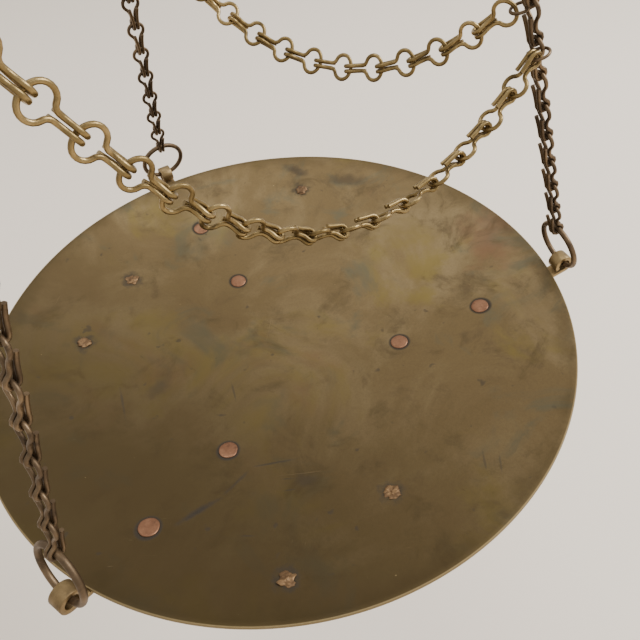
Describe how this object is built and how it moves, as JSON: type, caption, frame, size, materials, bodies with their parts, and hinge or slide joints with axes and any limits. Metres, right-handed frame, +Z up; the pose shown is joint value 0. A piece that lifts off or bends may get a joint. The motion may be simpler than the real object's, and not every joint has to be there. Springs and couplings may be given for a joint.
{
  "type": "hanging balance scale",
  "caption": "Equal-arm hanging balance in aged brass: a knife-edge beam in shears and shallow riveted pans on hooked-wire chains with slack swags between them.",
  "frame": {"origin": "centre of the hanging eye's bore", "axes": "+Z up, +X along the beam towards the right-hand pan, +Y along the eye's bore and the knife edges, away from the user"},
  "size_m": [0.7008, 0.2803, 0.5648],
  "materials": {
    "pan_brass": "aged, brown patina, satin",
    "strap_brass": "aged, dull",
    "rivet_copper": "copper, dull",
    "swag_brass": "drawn wire, light patina",
    "dark_bronze": "blackened wire, satin",
    "beam_brass": "aged, satin",
    "fitting_brass": "aged, satin",
    "knife_steel": "ground"
  },
  "bodies": {
    "hanging_eye": {"hanging_eye": "beam_brass", "eye_collar": "fitting_brass"},
    "shears": {"shears_bridge": "beam_brass", "cheek_rivets": "fitting_brass", "shears_cheek_front": "beam_brass", "shears_cheek_back": "beam_brass", "fulcrum_bearings": "knife_steel"},
    "beam": {"beam": "beam_brass", "fulcrum_knife": "knife_steel", "pointer": "beam_brass", "end_knife_lh": "knife_steel", "end_knife_rh": "knife_steel"},
    "shackle_rh": {"shackle_cheeks_rh": "beam_brass", "shackle_pin_rh": "beam_brass"},
    "hanger_rh": {"hanger_ring_rh": "dark_bronze"},
    "swivel_rh": {"swivel_rh": "beam_brass"},
    "pan_rh": {"chain_plate_rh": "beam_brass", "plate_rings_rh": "dark_bronze", "back_chain_rh": "dark_bronze", "back_strap_rh": "strap_brass", "right_chain_rh": "dark_bronze", "right_strap_rh": "strap_brass", "left_chain_rh": "dark_bronze", "left_strap_rh": "strap_brass", "rim_rings_rh": "dark_bronze", "pan_rivets_rh": "rivet_copper", "pan_rh": "pan_brass", "swag_rings_rh": "dark_bronze"},
    "back_right_swag_rh": {"back_right_swag_rh": "swag_brass"},
    "left_right_swag_rh": {"left_right_swag_rh": "swag_brass"},
    "back_left_swag_rh": {"back_left_swag_rh": "swag_brass"},
    "shackle_lh": {"shackle_cheeks_lh": "beam_brass", "shackle_pin_lh": "beam_brass"},
    "hanger_lh": {"hanger_ring_lh": "dark_bronze"},
    "swivel_lh": {"swivel_lh": "beam_brass"},
    "pan_lh": {"chain_plate_lh": "beam_brass", "plate_rings_lh": "dark_bronze", "back_chain_lh": "dark_bronze", "back_strap_lh": "strap_brass", "right_chain_lh": "dark_bronze", "right_strap_lh": "strap_brass", "left_chain_lh": "dark_bronze", "left_strap_lh": "strap_brass", "rim_rings_lh": "dark_bronze", "pan_rivets_lh": "rivet_copper", "pan_lh": "pan_brass", "swag_rings_lh": "dark_bronze"},
    "back_right_swag_lh": {"back_right_swag_lh": "swag_brass"},
    "left_right_swag_lh": {"left_right_swag_lh": "swag_brass"},
    "back_left_swag_lh": {"back_left_swag_lh": "swag_brass"}
  },
  "joints": [
    {"name": "eye_swivel", "type": "hinge", "parent": "hanging_eye", "child": "shears", "pos_m": [0, 0, -0.025], "axis": [0, 0, 1], "continuous": true},
    {"name": "beam_rock", "type": "hinge", "parent": "shears", "child": "beam", "pos_m": [0, 0, -0.095], "axis": [0, 1, 0], "range_deg": [-10, 10]},
    {"name": "shackle_rock_rh", "type": "hinge", "parent": "beam", "child": "shackle_rh", "pos_m": [0.215, 0, -0.095], "axis": [0, 1, 0], "range_deg": [-10, 10]},
    {"name": "ring_swing_rh", "type": "hinge", "parent": "shackle_rh", "child": "hanger_rh", "pos_m": [0.215, 0, -0.127], "axis": [0, 1, 0], "range_deg": [-20, 20]},
    {"name": "pan_sway_rh", "type": "hinge", "parent": "hanger_rh", "child": "swivel_rh", "pos_m": [0.215, 0, -0.14045], "axis": [1, 0, 0], "range_deg": [-20, 20]},
    {"name": "pan_turn_rh", "type": "hinge", "parent": "swivel_rh", "child": "pan_rh", "pos_m": [0.215, 0, -0.1596], "axis": [0, 0, 1], "continuous": true},
    {"name": "back_right_swag_swing_rh", "type": "hinge", "parent": "pan_rh", "child": "back_right_swag_rh", "pos_m": [0.30501, -0.0314, -0.40964], "axis": [-0.566, 0.8064, 0.1713], "range_deg": [-12, 12]},
    {"name": "left_right_swag_swing_rh", "type": "hinge", "parent": "pan_rh", "child": "left_right_swag_rh", "pos_m": [0.14698, -0.04798, -0.37192], "axis": [0.9533, 0.0191, -0.3014], "range_deg": [-12, 12]},
    {"name": "back_left_swag_swing_rh", "type": "hinge", "parent": "pan_rh", "child": "back_left_swag_rh", "pos_m": [0.20904, 0.07415, -0.34706], "axis": [-0.4736, -0.8747, 0.1032], "range_deg": [-12, 12]},
    {"name": "shackle_rock_lh", "type": "hinge", "parent": "beam", "child": "shackle_lh", "pos_m": [-0.215, 0, -0.095], "axis": [0, 1, 0], "range_deg": [-10, 10]},
    {"name": "ring_swing_lh", "type": "hinge", "parent": "shackle_lh", "child": "hanger_lh", "pos_m": [-0.215, 0, -0.127], "axis": [0, 1, 0], "range_deg": [-20, 20]},
    {"name": "pan_sway_lh", "type": "hinge", "parent": "hanger_lh", "child": "swivel_lh", "pos_m": [-0.215, 0, -0.14045], "axis": [1, 0, 0], "range_deg": [-20, 20]},
    {"name": "pan_turn_lh", "type": "hinge", "parent": "swivel_lh", "child": "pan_lh", "pos_m": [-0.215, 0, -0.1596], "axis": [0, 0, 1], "continuous": true},
    {"name": "back_right_swag_swing_lh", "type": "hinge", "parent": "pan_lh", "child": "back_right_swag_lh", "pos_m": [-0.12499, -0.0314, -0.40964], "axis": [-0.566, 0.8064, 0.1713], "range_deg": [-12, 12]},
    {"name": "left_right_swag_swing_lh", "type": "hinge", "parent": "pan_lh", "child": "left_right_swag_lh", "pos_m": [-0.28302, -0.04798, -0.37192], "axis": [0.9533, 0.0191, -0.3014], "range_deg": [-12, 12]},
    {"name": "back_left_swag_swing_lh", "type": "hinge", "parent": "pan_lh", "child": "back_left_swag_lh", "pos_m": [-0.22096, 0.07415, -0.34706], "axis": [-0.4736, -0.8747, 0.1032], "range_deg": [-12, 12]}
  ],
  "couplings": [
    {"joint": "shackle_rock_rh", "follows": "beam_rock", "ratio": -1},
    {"joint": "shackle_rock_lh", "follows": "beam_rock", "ratio": -1}
  ]
}
